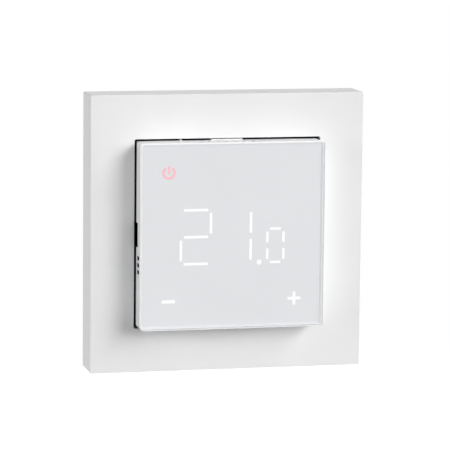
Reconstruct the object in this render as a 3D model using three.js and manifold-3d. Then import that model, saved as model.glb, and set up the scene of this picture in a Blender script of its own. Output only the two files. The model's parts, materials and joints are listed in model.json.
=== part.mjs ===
// Wall thermostat for a 60 mm wall box. A square cover frame surrounds a plug-in front unit with a thick
// clear touch plate. Behind it, a steel plate carries the rear unit with the power board and six terminals.
// Millimetres. +X is right, +Y points into the wall and +Z is up. The origin is the middle of the wall
// plane, where the backs of the cover frame and of the steel plate lie.

import * as THREE from 'three';
import { mergeVertices } from 'three/addons/utils/BufferGeometryUtils.js';
import Module from 'manifold-3d';

const wasm = await Module();
wasm.setup();

// ---- Driving dimensions ----

const GAP = 0.3; // between neighbouring pieces
const FILM_GAP = 0.05; // between the layers of the display
const CUT = 0.5; // how far a cutting body passes the face that it cuts
const SINK = 0.2; // how far a body that is joined to another one enters it

const FRAME_SIDE = 82.6;
const FRAME_DEPTH = 12;
const FRAME_WALL = 2;
const FRAME_CORNER_RADIUS = 0.35;
const OPENING_SIDE = 56.3;
const OPENING_WALL = 1.5;
const OPENING_WALL_BACK = -3.6;

const UNIT_SIDE = 55;
const UNIT_STANDS_OUT = 8.8; // panel front ahead of the frame's front
const UNIT_CORNER_RADIUS = 0.6;
const PANEL_THICKNESS = 4.1;
const PRINT_MARGIN = 0.75; // clear edge of the panel around its back print
const FILM_THICKNESS = 0.15;
const REFLECTOR_DEPTH = 3.5;
const BOARD_THICKNESS = 1.6;
const UNIT_WALL = 1.8;
const UNIT_BACK = -5.9;
const UNIT_COVER_THICKNESS = 1.6;

const DIGIT_BAR = 1; // width of a lit segment
const BASELINE = -8.8; // lower edge of the digits
const DIGITS = [
  { middle: -10.9, width: 10, height: 17 },
  { middle: 1.2, width: 10, height: 17 },
  { middle: 13.2, width: 5.9, height: 11 },
];
const DIGIT_CORNER_GAP = 0.33; // between the ends of two segments that meet at a corner
const POINT = { x: 8.3, z: -8.1, radius: 0.75 };
const KEYS = [
  { name: 'power', x: -19.1, z: 18.75 },
  { name: 'minus', x: -19.1, z: -19.35 },
  { name: 'plus', x: 19.1, z: -19.35 },
];
const KEY_WELL_RADIUS = 4;
const LAMP = { side: 0.8, height: 0.7 };
const PROCESSOR = { x: 8, z: -6, side: 9, height: 1 };
const SPRING = { radius: 3, turns: 3, wireRadius: 0.25 };
const SENSOR = { x: -23.9, y: -14.6, z: -8.8, radius: 1.2, half: 1.9, lead: 0.5, leadPitch: 1.2 };

const SWITCH_WINDOW = { front: -13.85, back: -8.8, half: 3.65 };
const SWITCH_BODY = { front: -14.4, back: -8.4, half: 5.2, depth: 5 };
const SWITCH_SLOT = { middle: -11.6, half: 1.3, halfLength: 3.6, depth: 2.2 };
const SWITCH_KNOB = { z: 1.9, half: 1.9, halfHeight: 1.5, recess: 0.6 }; // z is the upper end of its travel
const KNOB_GROOVES = { count: 3, pitch: 0.8, width: 0.36, depth: 0.3 };

const VENT = { front: -16.1, back: -13.5 };
const SIDE_VENTS = { first: -6.75, pitch: 2.05, count: 3, width: 1.35 };
const ROW_VENTS = { pitch: 2.65, count: 8, width: 1.4 };

const HEADER = { z: 14, rows: 2, columns: 5, pitch: 2.54, pin: 0.64 };
const HEADER_BODY_DEPTH = 2.5;
const SOCKET = { front: -4.6, holeBack: 0.4 };
const TONGUE = { x: 12, z: 23.2, width: 6, thickness: 1.6, tip: -1.9 };
const BOARD_POST = { place: 20, radius: 1.8 };

const PLATE_SIDE = 71;
const PLATE_THICKNESS = 1;
const PLATE_CHAMFER = 4;
const PLATE_OPENING = { side: 46.6, chamfer: 9 };
const PLATE_TAB = { halfLength: 12, thickness: 0.9, height: 1.6 };
const PLATE_SLOT = { length: 10, width: 3.9 };
const PLATE_HOLE = { place: 28, radius: 1.7 };
const BOX_SCREW_PITCH = 60; // the wall box's screws
const BOX_SCREW = { headRadius: 3, headHeight: 2.1, radius: 1.45, length: 19, sides: 14 };
const DECK_SCREW = { headRadius: 1.9, headHeight: 1.4, radius: 0.85, length: 10.4, sides: 10 };
const HEAD_GAP = 0.1; // under a screw's head

const DECK_SIDE = 58.6;
const DECK_FRONT = -3.3;
const DECK_BACK = -1.3;
const DECK_PAD = { place: 22.4, side: 6 }; // the unit rests on four of these
const DECK_POST = { front: -6.5, z: 15, halfWidth: 2.5, thickness: 1.25 }; // around the frame's opening wall
const DECK_SCREW_X = 20.3;
const DECK_BOSS_RADIUS = 2.6;

const REAR_SIDE = 50;
const REAR_CHAMFER = 11;
const REAR_BACK = 22;
const REAR_WALL = 1.6;
const REAR_BOARD_FRONT = 2.4;
const REAR_VENTS = { count: 7, pitch: 3.2, width: 1.4, height: 12, z: 10 };
const PILLAR = { x: 20.8, width: 5.6, height: 5.4, back: 9 };

const RELAY = { x: 11.6, z: 8.8, width: 21, height: 10.6, depth: 15.4, flange: 1.4 };
const TRANSFORMER = { x: -11, z: 10, width: 17, height: 9, depth: 12, window: 4, limb: 2.5 };
const MAIN_CAPACITOR = { x: -13, z: -3.6, radius: 4, depth: 11.5 };
const FILM_CAPACITOR = { x: 0, z: -4.6, width: 13, height: 5, depth: 10.5 };
const VARISTOR = { x: 13, z: -4, radius: 4.5, thickness: 3.4, lift: 5.2 };
const FUSE = { x: 12, z: 0.9, half: 4.5, capRadius: 1.6, glassRadius: 1.3, capLength: 1.5, lift: 2 };

const TERMINALS = 6;
const TERMINAL_PITCH = 6.2;
const TERMINAL_Z = -16.3; // axis of the clamp screws
const BLOCK = { half: 19, low: -21, high: -10.1, front: 10.5 };
const LEAD = { z: -12, width: 1.6, thickness: 0.8 };
const CLAMP = { front: 11.6, back: 17.2, wall: 0.8, half: 2.2, length: 6 };
const CLAMP_SIDE_WALL = 0.7;
const CLAMP_CAVITY_BACK = 19.9;
const CLAMP_SCREW = { radius: 1.4, headRadius: 2.1, headFront: 20, headHeight: 1.6 };
const CLAMP_SCREW_SLOT = { width: 0.6, depth: 0.9 };
const WIRE_ENTRY_HALF = 1.8;
const CONTACT_FRONT = 15.4; // the fixed contact, which the clamp presses the wire against

// ---- Places worked out from them ----

const frameHalf = FRAME_SIDE / 2;
const openingHalf = OPENING_SIDE / 2;
const unitHalf = UNIT_SIDE / 2;
const unitInnerHalf = unitHalf - UNIT_WALL;
const panelFront = -FRAME_DEPTH - UNIT_STANDS_OUT;
const panelBack = panelFront + PANEL_THICKNESS;
const printFront = panelBack + FILM_GAP;
const printBack = printFront + FILM_THICKNESS;
const diffuserFront = printBack + FILM_GAP;
const diffuserBack = diffuserFront + FILM_THICKNESS;
const reflectorFront = diffuserBack + 2 * FILM_GAP;
const reflectorBack = reflectorFront + REFLECTOR_DEPTH;
const boardFront = reflectorBack + GAP;
const boardBack = boardFront + BOARD_THICKNESS;
const stackHalf = unitInnerHalf - GAP;
const rearHalf = REAR_SIDE / 2;
const rearInnerHalf = rearHalf - REAR_WALL;
const rearBoardBack = REAR_BOARD_FRONT + BOARD_THICKNESS;

// ---- Finishes ----

const finish = (color, roughness, metalness = 0, extra = {}) => ({ color, roughness, metalness, ...extra });
const WHITE_PLASTIC = finish(0xf2f2f1, 0.45);
const CLEAR_ACRYLIC = finish(0xeef1f2, 0.05, 0, { transparent: true, opacity: 0.35 });
const PRINT_WHITE = finish(0xe1e3e5, 0.6);
const BLACK_PLASTIC = finish(0x111112, 0.5);
const GREY_PLASTIC = finish(0xb9bcbe, 0.55);
const BOARD_GREEN = finish(0x1d5a36, 0.5);
const SPRING_STEEL = finish(0xb8b8ba, 0.3, 1);
const ZINC_STEEL = finish(0xaeb2b5, 0.35, 1);
const BRASS = finish(0xc9a45a, 0.3, 1);
const FERRITE = finish(0x2b2b2e, 0.7);
const COPPER = finish(0xb4672f, 0.35, 1);
const RELAY_BLUE = finish(0x2f6fa8, 0.4);
const VARISTOR_BLUE = finish(0x1f4f8f, 0.5);
const FILM_YELLOW = finish(0xd9b23a, 0.5);

// ---- Shapes ----

/** A box between two values on each axis. */
function box([x0, x1], [y0, y1], [z0, z1]) {
  const geometry = new THREE.BoxGeometry(x1 - x0, y1 - y0, z1 - z0);
  return geometry.translate((x0 + x1) / 2, (y0 + y1) / 2, (z0 + z1) / 2);
}

/** A box given by its middle and size in X and Z, between two depths. */
function block(x, z, width, height, front, back) {
  return box([x - width / 2, x + width / 2], [front, back], [z - height / 2, z + height / 2]);
}

/** A round bar along Y. */
function rod(radius, front, back, x = 0, z = 0, sides = 12) {
  const geometry = new THREE.CylinderGeometry(radius, radius, back - front, sides);
  return geometry.translate(x, (front + back) / 2, z);
}

/** An outline in X and Z, made solid between two depths. */
function prism(outline, front, back, curveSegments = 1) {
  const geometry = new THREE.ExtrudeGeometry(outline, {
    depth: back - front,
    bevelEnabled: false,
    curveSegments,
  });
  return geometry.rotateX(Math.PI / 2).translate(0, back, 0);
}

/** A body of revolution about Y. The profile's points are [radius, y], from the lowest y to the highest. */
function turned(profile, sides = 12) {
  return new THREE.LatheGeometry(profile.map(([radius, y]) => new THREE.Vector2(radius, y)), sides);
}

/** A square with rounded corners, about the origin. */
function roundedSquare(half, radius) {
  const inner = half - radius;
  const shape = new THREE.Shape();
  shape.absarc(inner, inner, radius, 0, Math.PI / 2);
  shape.absarc(-inner, inner, radius, Math.PI / 2, Math.PI);
  shape.absarc(-inner, -inner, radius, Math.PI, 1.5 * Math.PI);
  shape.absarc(inner, -inner, radius, 1.5 * Math.PI, 2 * Math.PI);
  return shape;
}

/** A square with its corners cut at 45 degrees. */
function chamferedSquare(half, chamfer) {
  const short = half - chamfer;
  const corners = [
    [half, short], [short, half], [-short, half], [-half, short],
    [-half, -short], [-short, -half], [short, -half], [half, -short],
  ];
  return new THREE.Shape(corners.map(([x, z]) => new THREE.Vector2(x, z)));
}

/** A slot with round ends, along Z or along X. */
function slotOutline(x, z, length, width, alongX) {
  const reach = (length - width) / 2;
  const [dx, dz] = alongX ? [reach, 0] : [0, reach];
  const start = alongX ? -Math.PI / 2 : 0;
  const shape = new THREE.Shape();
  shape.absarc(x + dx, z + dz, width / 2, start, start + Math.PI);
  shape.absarc(x - dx, z - dz, width / 2, start + Math.PI, start + 2 * Math.PI);
  return shape;
}

// ---- Booleans ----

/** The manifold solid of a closed three.js geometry. */
function toSolid(geometry) {
  const bare = geometry.clone();
  bare.deleteAttribute('normal');
  bare.deleteAttribute('uv');
  const welded = mergeVertices(bare);
  const corners = welded.index.array;
  const kept = [];
  for (let i = 0; i < corners.length; i += 3) {
    const [a, b, c] = corners.subarray(i, i + 3);
    if (a !== b && b !== c && c !== a) kept.push(a, b, c);
  }
  return new wasm.Manifold(new wasm.Mesh({
    numProp: 3,
    vertProperties: new Float32Array(welded.attributes.position.array),
    triVerts: new Uint32Array(kept),
  }));
}

/** The three.js geometry of a manifold solid. */
function toGeometry(solid) {
  const mesh = solid.getMesh();
  const geometry = new THREE.BufferGeometry();
  geometry.setAttribute('position', new THREE.BufferAttribute(mesh.vertProperties, 3));
  geometry.setIndex(new THREE.BufferAttribute(mesh.triVerts, 1));
  geometry.computeVertexNormals();
  return geometry;
}

/** Joins the first list of geometries, then cuts the second list from it. */
function shaped(added, removed = []) {
  let solid = toSolid(added[0]);
  for (const geometry of added.slice(1)) solid = solid.add(toSolid(geometry));
  for (const geometry of removed) solid = solid.subtract(toSolid(geometry));
  return toGeometry(solid);
}

/** The four quarter turns of a geometry about Y. */
function onFourSides(geometry) {
  return [0, 1, 2, 3].map((quarter) => geometry.clone().rotateY((quarter * Math.PI) / 2));
}

/** The four places that mirror one another in X and Z. */
function fourCorners(x, z) {
  return [[x, z], [-x, z], [x, -z], [-x, -z]];
}

/** Places for count pieces at a pitch, centred on zero. */
function row(count, pitch) {
  return Array.from({ length: count }, (_, i) => (i - (count - 1) / 2) * pitch);
}

// ---- Assembly ----

const thermostat = new THREE.Group();
const frontUnit = new THREE.Group();
const rearUnit = new THREE.Group();
thermostat.add(frontUnit, rearUnit);

/** Adds a named piece to a group. */
function addPiece(group, name, geometry, look) {
  const mesh = new THREE.Mesh(geometry, new THREE.MeshStandardMaterial(look));
  mesh.name = name;
  group.add(mesh);
  return mesh;
}

// ---- Cover frame ----

function coverFrame() {
  const faceBack = -FRAME_DEPTH + FRAME_WALL;
  const hollowHalf = frameHalf - FRAME_WALL;
  const wallHalf = openingHalf + OPENING_WALL;
  const shell = shaped(
    [prism(roundedSquare(frameHalf, FRAME_CORNER_RADIUS), -FRAME_DEPTH, 0, 2)],
    [prism(roundedSquare(hollowHalf, FRAME_CORNER_RADIUS), faceBack, CUT)],
  );
  const openingWall = prism(roundedSquare(wallHalf, FRAME_CORNER_RADIUS), faceBack - 1, OPENING_WALL_BACK);
  const opening = prism(roundedSquare(openingHalf, FRAME_CORNER_RADIUS), -FRAME_DEPTH - CUT, CUT);
  return shaped([shell, openingWall], [opening]);
}

addPiece(thermostat, 'cover_frame', coverFrame(), WHITE_PLASTIC);

// ---- Front unit: clear panel and films ----

addPiece(
  frontUnit,
  'touch_panel',
  prism(roundedSquare(unitHalf, UNIT_CORNER_RADIUS), panelFront, panelBack, 2),
  CLEAR_ACRYLIC,
);
addPiece(
  frontUnit,
  'panel_print',
  prism(roundedSquare(unitHalf - PRINT_MARGIN, UNIT_CORNER_RADIUS), printFront, printBack),
  PRINT_WHITE,
);
addPiece(
  frontUnit,
  'diffuser_film',
  prism(roundedSquare(stackHalf, UNIT_CORNER_RADIUS), diffuserFront, diffuserBack),
  PRINT_WHITE,
);

// ---- Front unit: segment reflector and display board ----

/** The seven bars of a digit, each with its middle and size in X and Z. */
function digitBars({ middle, width, height }) {
  const endGap = DIGIT_CORNER_GAP + DIGIT_BAR;
  const reach = (height - DIGIT_BAR) / 2;
  const side = (width - DIGIT_BAR) / 2;
  const centre = BASELINE + height / 2;
  const upright = reach - 1.3;
  const level = [-reach, 0, reach].map((z) => ({
    x: middle, z: centre + z, width: width - 2 * endGap, height: DIGIT_BAR,
  }));
  const uprights = [-side, side].flatMap((x) => [-reach / 2, reach / 2].map((z) => ({
    x: middle + x, z: centre + z, width: DIGIT_BAR, height: upright,
  })));
  return [...level, ...uprights];
}

const allBars = DIGITS.flatMap(digitBars);

/** Room for the slide switch and for the sensor, cut from the left edge of a layer. */
function leftEdgeCuts(front, back) {
  return [
    box([-stackHalf - CUT, -20], [front, back], [-5.6, 5.6]),
    box([-stackHalf - CUT, -22], [front, back], [-12.4, -5.2]),
  ];
}

function segmentReflector() {
  const front = reflectorFront - CUT;
  const back = reflectorBack + CUT;
  return shaped(
    [prism(roundedSquare(stackHalf, UNIT_CORNER_RADIUS), reflectorFront, reflectorBack)],
    [
      ...allBars.map((bar) => block(bar.x, bar.z, bar.width, bar.height, front, back)),
      rod(POINT.radius, front, back, POINT.x, POINT.z, 8),
      ...KEYS.map((key) => rod(KEY_WELL_RADIUS, front, back, key.x, key.z)),
      ...leftEdgeCuts(front, back),
    ],
  );
}

addPiece(frontUnit, 'segment_reflector', segmentReflector(), BLACK_PLASTIC);

function displayBoard() {
  const { x, z, side, height } = PROCESSOR;
  const lamps = [...allBars, POINT, ...KEYS].map((lamp) =>
    block(lamp.x, lamp.z, LAMP.side, LAMP.side, boardFront - LAMP.height, boardFront + SINK));
  return shaped(
    [
      prism(roundedSquare(stackHalf, UNIT_CORNER_RADIUS), boardFront, boardBack),
      ...lamps,
      block(x, z, side, side, boardBack - SINK, boardBack + height),
    ],
    leftEdgeCuts(boardFront - CUT, boardBack + CUT),
  );
}

addPiece(frontUnit, 'display_board', displayBoard(), BOARD_GREEN);

// ---- Front unit: touch springs ----

/** A helix about Y, from y = 0 to y = length. */
class SpringPath extends THREE.Curve {
  constructor(radius, turns, length) {
    super();
    this.radius = radius;
    this.turns = turns;
    this.length = length;
  }

  getPoint(t, target = new THREE.Vector3()) {
    const angle = t * this.turns * 2 * Math.PI;
    return target.set(this.radius * Math.cos(angle), t * this.length, this.radius * Math.sin(angle));
  }
}

function touchSpring() {
  const { radius, turns, wireRadius } = SPRING;
  const length = boardFront - reflectorFront - 2 * wireRadius - GAP;
  const section = new THREE.Shape();
  section.absarc(0, 0, wireRadius, 0, 2 * Math.PI);
  return new THREE.ExtrudeGeometry(section, {
    extrudePath: new SpringPath(radius, turns, length),
    steps: 36,
    curveSegments: 3,
    bevelEnabled: false,
  });
}

for (const key of KEYS) {
  const spring = addPiece(frontUnit, `touch_spring_${key.name}`, touchSpring(), SPRING_STEEL);
  spring.position.set(key.x, reflectorFront + GAP, key.z);
}

// ---- Front unit: room sensor ----

function roomSensor() {
  const { y, radius, half, lead, leadPitch } = SENSOR;
  const shoulder = half / 2;
  const tip = [radius * 0.66, half * 0.84];
  const bead = turned([
    [0, -half], [tip[0], -tip[1]], [radius, -shoulder], [radius, shoulder], [tip[0], tip[1]], [0, half],
  ]);
  bead.rotateX(Math.PI / 2).translate(0, y, 0);
  const leads = row(2, leadPitch).map((z) => block(0, z, lead, lead, y, boardFront - FILM_GAP));
  return shaped([bead, ...leads]);
}

addPiece(frontUnit, 'room_sensor', roomSensor(), BLACK_PLASTIC).position.set(SENSOR.x, 0, SENSOR.z);

// ---- Front unit: slide switch in the left side ----

const switchFace = -unitInnerHalf + GAP;

function switchBody() {
  const { middle, half, halfLength, depth } = SWITCH_SLOT;
  return shaped(
    [box(
      [switchFace, switchFace + SWITCH_BODY.depth],
      [SWITCH_BODY.front, SWITCH_BODY.back],
      [-SWITCH_BODY.half, SWITCH_BODY.half],
    )],
    [box([switchFace - CUT, switchFace + depth], [middle - half, middle + half], [-halfLength, halfLength])],
  );
}

/** The knob about its own middle height: a ribbed cap outside the switch and a stem inside it. */
function switchKnob() {
  const { middle, depth } = SWITCH_SLOT;
  const { half, halfHeight, recess } = SWITCH_KNOB;
  const capOutside = -unitHalf + recess;
  const capInside = switchFace - GAP;
  const stemHalf = SWITCH_SLOT.half - GAP;
  const cap = box([capOutside, capInside], [middle - half, middle + half], [-halfHeight, halfHeight]);
  const stem = box(
    [capInside - SINK / 2, switchFace + depth - 0.4],
    [middle - stemHalf, middle + stemHalf],
    [-halfHeight + GAP, halfHeight - GAP],
  );
  const { pitch, width, depth: grooveDepth } = KNOB_GROOVES;
  const grooves = row(KNOB_GROOVES.count, pitch).map((z) => box(
    [capOutside - CUT, capOutside + grooveDepth],
    [middle - half - CUT, middle + half + CUT],
    [z - width / 2, z + width / 2],
  ));
  return shaped([cap, stem], grooves);
}

addPiece(frontUnit, 'switch_body', switchBody(), BLACK_PLASTIC);
addPiece(frontUnit, 'switch_knob', switchKnob(), BLACK_PLASTIC).position.z = SWITCH_KNOB.z;

// ---- Front unit: housing ----

/** Low ribs on the top side that keep the unit in the middle of the frame's opening. */
function centringRibs() {
  const front = -FRAME_DEPTH + 0.5;
  const high = openingHalf - GAP;
  return [
    box([-14.4, -13.9], [front, UNIT_BACK - 1], [unitHalf - 0.5, high]),
    box([-5, 4.5], [front, UNIT_BACK - 1], [unitHalf - 0.5, high]),
  ];
}

function frontHousing() {
  const recessHalf = unitHalf - PRINT_MARGIN + 0.1;
  const recessBack = printBack + FILM_GAP + 0.1;
  const wallCut = [-unitHalf - CUT, -unitInnerHalf + CUT];
  const sideVents = Array.from({ length: SIDE_VENTS.count }, (_, i) => {
    const z = SIDE_VENTS.first - i * SIDE_VENTS.pitch;
    return box(wallCut, [VENT.front, VENT.back], [z - SIDE_VENTS.width / 2, z + SIDE_VENTS.width / 2]);
  });
  const rowVentHeight = UNIT_WALL + 2 * CUT;
  const rowVents = row(ROW_VENTS.count, ROW_VENTS.pitch).flatMap((x) =>
    [1, -1].map((side) => {
      const z = side * (unitHalf - UNIT_WALL / 2);
      return block(x, z, ROW_VENTS.width, rowVentHeight, VENT.front, VENT.back);
    }));
  return shaped(
    [prism(roundedSquare(unitHalf, UNIT_CORNER_RADIUS), printFront, UNIT_BACK, 2), ...centringRibs()],
    [
      prism(roundedSquare(recessHalf, UNIT_CORNER_RADIUS), printFront - CUT, recessBack),
      prism(roundedSquare(unitInnerHalf, UNIT_CORNER_RADIUS), printFront - CUT, UNIT_BACK + CUT),
      box(wallCut, [SWITCH_WINDOW.front, SWITCH_WINDOW.back], [-SWITCH_WINDOW.half, SWITCH_WINDOW.half]),
      ...sideVents,
      ...rowVents,
    ],
  );
}

addPiece(frontUnit, 'front_housing', frontHousing(), WHITE_PLASTIC);

/** The unit's back cover, with four posts under the display board and four guide tongues for the deck. */
function unitBackCover() {
  const coverFront = UNIT_BACK - UNIT_COVER_THICKNESS;
  const posts = fourCorners(BOARD_POST.place, BOARD_POST.place).map(([x, z]) =>
    rod(BOARD_POST.radius, boardBack + GAP, UNIT_BACK - CUT, x, z));
  const tongues = fourCorners(TONGUE.x, TONGUE.z).map(([x, z]) =>
    block(x, z, TONGUE.width, TONGUE.thickness, UNIT_BACK - 1, TONGUE.tip));
  return shaped(
    [prism(roundedSquare(stackHalf, UNIT_CORNER_RADIUS), coverFront, UNIT_BACK), ...posts, ...tongues],
    [headerWindow(coverFront - CUT, UNIT_BACK + CUT)],
  );
}

// ---- Plug connection between the two units ----

const headerWidth = HEADER.columns * HEADER.pitch + 0.5;
const headerHeight = HEADER.rows * HEADER.pitch;
const pinPlaces = row(HEADER.columns, HEADER.pitch).flatMap((x) =>
  row(HEADER.rows, HEADER.pitch).map((z) => [x, HEADER.z + z]));

/** The window that the pin header passes through. */
function headerWindow(front, back) {
  return block(0, HEADER.z, headerWidth + 1.6, headerHeight + 1.6, front, back);
}

function pinHeader() {
  const barFront = boardBack + GAP;
  const pins = pinPlaces.map(([x, z]) => block(x, z, HEADER.pin, HEADER.pin, barFront + 1, -0.5));
  const barBack = barFront + HEADER_BODY_DEPTH;
  return shaped([block(0, HEADER.z, headerWidth, headerHeight, barFront, barBack), ...pins]);
}

function pinSocket() {
  const hole = HEADER.pin + 2 * GAP;
  return shaped(
    [block(0, HEADER.z, headerWidth, headerHeight, SOCKET.front, REAR_BOARD_FRONT - GAP)],
    pinPlaces.map(([x, z]) => block(x, z, hole, hole, SOCKET.front - CUT, SOCKET.holeBack)),
  );
}

addPiece(frontUnit, 'unit_back_cover', unitBackCover(), WHITE_PLASTIC);
addPiece(frontUnit, 'pin_header', pinHeader(), BRASS);
addPiece(rearUnit, 'pin_socket', pinSocket(), BLACK_PLASTIC);

// ---- Steel mounting plate and wall box screws ----

const boxScrewPlace = BOX_SCREW_PITCH / 2;

function mountingPlate() {
  const plateHalf = PLATE_SIDE / 2;
  const { length, width } = PLATE_SLOT;
  const slots = [
    slotOutline(boxScrewPlace, 0, length, width, false),
    slotOutline(-boxScrewPlace, 0, length, width, false),
    slotOutline(0, boxScrewPlace, length, width, true),
    slotOutline(0, -boxScrewPlace, length, width, true),
  ];
  const tabs = onFourSides(box(
    [plateHalf - PLATE_TAB.thickness, plateHalf],
    [-PLATE_THICKNESS - PLATE_TAB.height, -PLATE_THICKNESS / 2],
    [-PLATE_TAB.halfLength, PLATE_TAB.halfLength],
  ));
  const opening = chamferedSquare(PLATE_OPENING.side / 2, PLATE_OPENING.chamfer);
  return shaped(
    [prism(chamferedSquare(plateHalf, PLATE_CHAMFER), -PLATE_THICKNESS, 0), ...tabs],
    [
      prism(opening, -PLATE_THICKNESS - CUT, CUT),
      ...slots.map((slot) => prism(slot, -PLATE_THICKNESS - CUT, CUT, 3)),
      ...fourCorners(PLATE_HOLE.place, PLATE_HOLE.place).map(([x, z]) =>
        rod(PLATE_HOLE.radius, -PLATE_THICKNESS - CUT, CUT, x, z)),
    ],
  );
}

/** A pan-head screw about its own axis, with a cross recess. Its head's underside is at y = 0. */
function panScrew({ headRadius, headHeight, radius, length, sides }) {
  const body = turned([
    [0, -headHeight], [headRadius * 0.75, -headHeight], [headRadius, -headHeight * 0.5], [headRadius, 0],
    [radius, 0], [radius, length - radius], [0, length],
  ], sides);
  const recess = [headRadius * 1.1, headRadius * 0.28, headHeight * 0.55];
  const bars = [recess, [recess[1], recess[0], recess[2]]].map(([width, height, depth]) =>
    block(0, 0, width, height, -headHeight - CUT, -headHeight + depth));
  return shaped([body], bars);
}

addPiece(rearUnit, 'mounting_plate', mountingPlate(), ZINC_STEEL);
for (const [name, side] of [['left', -1], ['right', 1]]) {
  const boxScrew = addPiece(rearUnit, `box_screw_${name}`, panScrew(BOX_SCREW), ZINC_STEEL);
  boxScrew.position.set(side * boxScrewPlace, -PLATE_THICKNESS - HEAD_GAP, 0);
  const deckScrew = addPiece(rearUnit, `deck_screw_${name}`, panScrew(DECK_SCREW), ZINC_STEEL);
  deckScrew.position.set(side * DECK_SCREW_X, DECK_FRONT - HEAD_GAP, 0);
}

// ---- Rear unit: front deck ----

function frontDeck() {
  const half = DECK_SIDE / 2;
  const postInside = openingHalf + OPENING_WALL + GAP;
  const postOutside = postInside + DECK_POST.thickness;
  const posts = [-DECK_POST.z, DECK_POST.z].flatMap((z) => {
    const span = [z - DECK_POST.halfWidth, z + DECK_POST.halfWidth];
    return [
      ...onFourSides(box([postInside, postOutside], [DECK_POST.front, DECK_BACK], span)),
      ...onFourSides(box([half - 1, postOutside], [DECK_FRONT, DECK_BACK], span)),
    ];
  });
  const pads = fourCorners(DECK_PAD.place, DECK_PAD.place).map(([x, z]) =>
    block(x, z, DECK_PAD.side, DECK_PAD.side, UNIT_BACK + GAP, DECK_FRONT + CUT));
  const bosses = [-1, 1].map((side) => rod(DECK_BOSS_RADIUS, DECK_FRONT, 0, side * DECK_SCREW_X));
  const tongueSlots = fourCorners(TONGUE.x, TONGUE.z).map(([x, z]) =>
    block(x, z, TONGUE.width + 1, TONGUE.thickness + 0.8, DECK_FRONT - CUT, DECK_BACK + CUT));
  const headRoom = BOX_SCREW.headRadius + GAP;
  const screwNotches = onFourSides(box(
    [boxScrewPlace - headRoom, half + 1],
    [DECK_FRONT - CUT, DECK_BACK + CUT],
    [-headRoom - 1.2, headRoom + 1.2],
  ));
  return shaped(
    [prism(roundedSquare(half, UNIT_CORNER_RADIUS), DECK_FRONT, DECK_BACK), ...posts, ...pads, ...bosses],
    [
      headerWindow(DECK_FRONT - CUT, DECK_BACK + CUT),
      ...screwNotches,
      ...tongueSlots,
      ...[-1, 1].map((side) => rod(DECK_SCREW.radius + GAP, DECK_FRONT - CUT, CUT, side * DECK_SCREW_X)),
    ],
  );
}

addPiece(rearUnit, 'front_deck', frontDeck(), BLACK_PLASTIC);

// ---- Rear unit: housing in the wall box ----

const stepFloor = { front: 8.6, back: BLOCK.front - GAP };
const partition = { low: BLOCK.high + GAP, high: BLOCK.high + GAP + REAR_WALL };
const terminalPlaces = row(TERMINALS, TERMINAL_PITCH);
const innerChamfer = REAR_CHAMFER - REAR_WALL * 0.4;

/** The holes that the terminals' leads pass through. */
function leadHoles(front, back) {
  return terminalPlaces.map((x) =>
    block(x, LEAD.z, LEAD.width + 2 * GAP, LEAD.thickness + 2 * GAP, front, back));
}

/** A tub with a step for the terminals. It is open at the front, where the deck closes it. */
function rearHousing() {
  const front = GAP;
  const floor = REAR_BACK - REAR_WALL;
  const inside = toSolid(prism(chamferedSquare(rearInnerHalf, innerChamfer), front - CUT, floor));
  const step = box([-rearHalf, rearHalf], [stepFloor.front, REAR_BACK], [-rearHalf, partition.high]);
  const terminalRoom = box(
    [-rearHalf - 1, rearHalf + 1],
    [stepFloor.back, REAR_BACK + 1],
    [-rearHalf - 1, partition.low],
  );
  const shell = shaped(
    [prism(chamferedSquare(rearHalf, REAR_CHAMFER), front, REAR_BACK)],
    [toGeometry(inside.subtract(toSolid(step))), terminalRoom],
  );
  const pillars = [-1, 1].map((side) =>
    block(side * PILLAR.x, 0, PILLAR.width, PILLAR.height, front, PILLAR.back));
  const { width, height } = REAR_VENTS;
  const vents = row(REAR_VENTS.count, REAR_VENTS.pitch).map((x) =>
    block(x, REAR_VENTS.z, width, height, floor - CUT, REAR_BACK + CUT));
  return shaped([shell, ...pillars], [
    ...[-1, 1].map((side) =>
      rod(DECK_SCREW.radius + GAP, front - CUT, PILLAR.back - 1, side * DECK_SCREW_X)),
    ...leadHoles(stepFloor.front - CUT, stepFloor.back + CUT),
    ...vents,
  ]);
}

addPiece(rearUnit, 'rear_housing', rearHousing(), GREY_PLASTIC);

// ---- Rear unit: power board and its components ----

function powerBoard() {
  const side = rearInnerHalf - GAP;
  const pillarRooms = [-1, 1].map((sign) => block(
    sign * (PILLAR.x + 0.7),
    0,
    PILLAR.width + 2,
    PILLAR.height + 0.8,
    REAR_BOARD_FRONT - CUT,
    rearBoardBack + CUT,
  ));
  return shaped(
    [prism(chamferedSquare(side, innerChamfer), REAR_BOARD_FRONT, rearBoardBack)],
    [...pillarRooms, ...leadHoles(REAR_BOARD_FRONT - CUT, rearBoardBack + CUT)],
  );
}

const componentFront = rearBoardBack + GAP;

/** A relay's case on a slightly wider base. */
function relay() {
  const { x, z, width, height, depth, flange } = RELAY;
  return shaped([
    block(x, z, width - 0.6, height - 0.6, componentFront + flange / 2, componentFront + depth),
    block(x, z, width, height, componentFront, componentFront + flange),
  ]);
}

function transformerWindows(margin) {
  const { x, z, width, height, depth, window, limb } = TRANSFORMER;
  const middle = componentFront + 1 + depth / 2;
  const centreLimb = width - 2 * window - 2 * limb;
  const tall = depth - 2 * limb;
  return [-1, 1].map((side) => block(
    x + (side * (centreLimb + window)) / 2,
    z,
    window - 2 * margin,
    height + 2,
    middle - tall / 2 + margin,
    middle + tall / 2 - margin,
  ));
}

function transformerCore() {
  const { x, z, width, height, depth } = TRANSFORMER;
  const front = componentFront + 1;
  return shaped([block(x, z, width, height, front, front + depth)], transformerWindows(0));
}

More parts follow.
